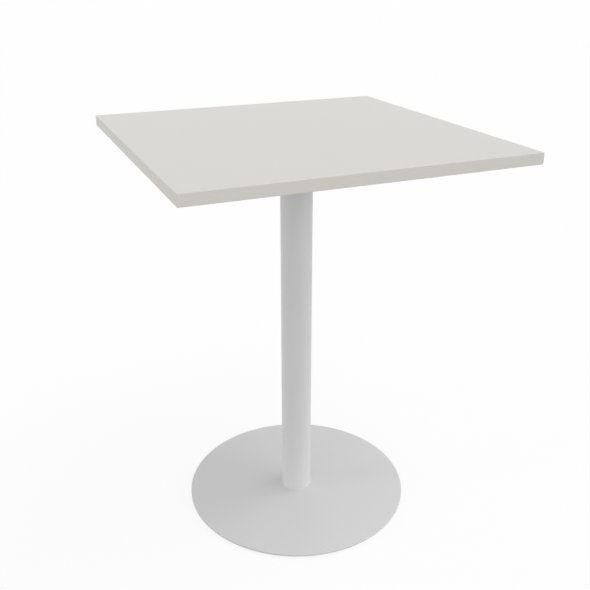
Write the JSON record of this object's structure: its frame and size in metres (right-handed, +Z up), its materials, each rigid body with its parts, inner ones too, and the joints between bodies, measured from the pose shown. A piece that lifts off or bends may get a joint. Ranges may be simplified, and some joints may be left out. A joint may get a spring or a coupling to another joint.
{
  "type": "high table",
  "caption": "High table with a square laminated top, round steel column, flat round base plate and low levelling glides.",
  "frame": {"origin": "on the floor, under the column's axis and the middle of the top", "axes": "+Z up along the column; X and Y along the edges of the square top, whose front edge faces -Y"},
  "size_m": [0.8, 0.8, 1.0171],
  "materials": {
    "top_laminate": "matte",
    "underside_laminate": "matte",
    "edge_band": "satin",
    "chipboard": "matte",
    "white_powder_coat": "satin",
    "hub_steel": "satin",
    "zinc_steel": "satin",
    "insert_brass": "satin",
    "sole_plastic": "satin"
  },
  "bodies": {
    "table": {"top_core": "chipboard", "top_laminate": "top_laminate", "underside_laminate": "underside_laminate", "edge_band_front": "edge_band", "edge_band_back": "edge_band", "edge_band_left": "edge_band", "edge_band_right": "edge_band", "threaded_inserts": "insert_brass", "mounting_plate": "white_powder_coat", "top_fixing_screws": "zinc_steel", "mounting_plate_screws": "zinc_steel", "column_tube": "white_powder_coat", "column_top_hub": "hub_steel", "column_bottom_hub": "hub_steel", "base_plate": "white_powder_coat", "base_screws": "zinc_steel"},
    "sole_1": {"glide_sole_1": "sole_plastic"},
    "stem_1": {"glide_stem_1": "zinc_steel"},
    "sole_2": {"glide_sole_2": "sole_plastic"},
    "stem_2": {"glide_stem_2": "zinc_steel"},
    "sole_3": {"glide_sole_3": "sole_plastic"},
    "stem_3": {"glide_stem_3": "zinc_steel"},
    "sole_4": {"glide_sole_4": "sole_plastic"},
    "stem_4": {"glide_stem_4": "zinc_steel"},
    "sole_5": {"glide_sole_5": "sole_plastic"},
    "stem_5": {"glide_stem_5": "zinc_steel"},
    "sole_6": {"glide_sole_6": "sole_plastic"},
    "stem_6": {"glide_stem_6": "zinc_steel"}
  },
  "joints": [
    {"name": "glide_1_slide", "type": "slide", "parent": "table", "child": "sole_1", "axis": [0, 0, -1], "range_m": [0, 0.002]},
    {"name": "glide_1_turn", "type": "hinge", "parent": "sole_1", "child": "stem_1", "pos_m": [0.22517, 0.13, 0.0055], "axis": [0, 0, -1], "range_deg": [0, 720]},
    {"name": "glide_2_slide", "type": "slide", "parent": "table", "child": "sole_2", "axis": [0, 0, -1], "range_m": [0, 0.002]},
    {"name": "glide_2_turn", "type": "hinge", "parent": "sole_2", "child": "stem_2", "pos_m": [0, 0.26, 0.0055], "axis": [0, 0, -1], "range_deg": [0, 720]},
    {"name": "glide_3_slide", "type": "slide", "parent": "table", "child": "sole_3", "axis": [0, 0, -1], "range_m": [0, 0.002]},
    {"name": "glide_3_turn", "type": "hinge", "parent": "sole_3", "child": "stem_3", "pos_m": [-0.22517, 0.13, 0.0055], "axis": [0, 0, -1], "range_deg": [0, 720]},
    {"name": "glide_4_slide", "type": "slide", "parent": "table", "child": "sole_4", "axis": [0, 0, -1], "range_m": [0, 0.002]},
    {"name": "glide_4_turn", "type": "hinge", "parent": "sole_4", "child": "stem_4", "pos_m": [-0.22517, -0.13, 0.0055], "axis": [0, 0, -1], "range_deg": [0, 720]},
    {"name": "glide_5_slide", "type": "slide", "parent": "table", "child": "sole_5", "axis": [0, 0, -1], "range_m": [0, 0.002]},
    {"name": "glide_5_turn", "type": "hinge", "parent": "sole_5", "child": "stem_5", "pos_m": [0, -0.26, 0.0055], "axis": [0, 0, -1], "range_deg": [0, 720]},
    {"name": "glide_6_slide", "type": "slide", "parent": "table", "child": "sole_6", "axis": [0, 0, -1], "range_m": [0, 0.002]},
    {"name": "glide_6_turn", "type": "hinge", "parent": "sole_6", "child": "stem_6", "pos_m": [0.22517, -0.13, 0.0055], "axis": [0, 0, -1], "range_deg": [0, 720]}
  ],
  "couplings": [
    {"joint": "glide_1_slide", "follows": "glide_1_turn", "m_per_rad": 0.00015915},
    {"joint": "glide_2_slide", "follows": "glide_2_turn", "m_per_rad": 0.00015915},
    {"joint": "glide_3_slide", "follows": "glide_3_turn", "m_per_rad": 0.00015915},
    {"joint": "glide_4_slide", "follows": "glide_4_turn", "m_per_rad": 0.00015915},
    {"joint": "glide_5_slide", "follows": "glide_5_turn", "m_per_rad": 0.00015915},
    {"joint": "glide_6_slide", "follows": "glide_6_turn", "m_per_rad": 0.00015915}
  ]
}
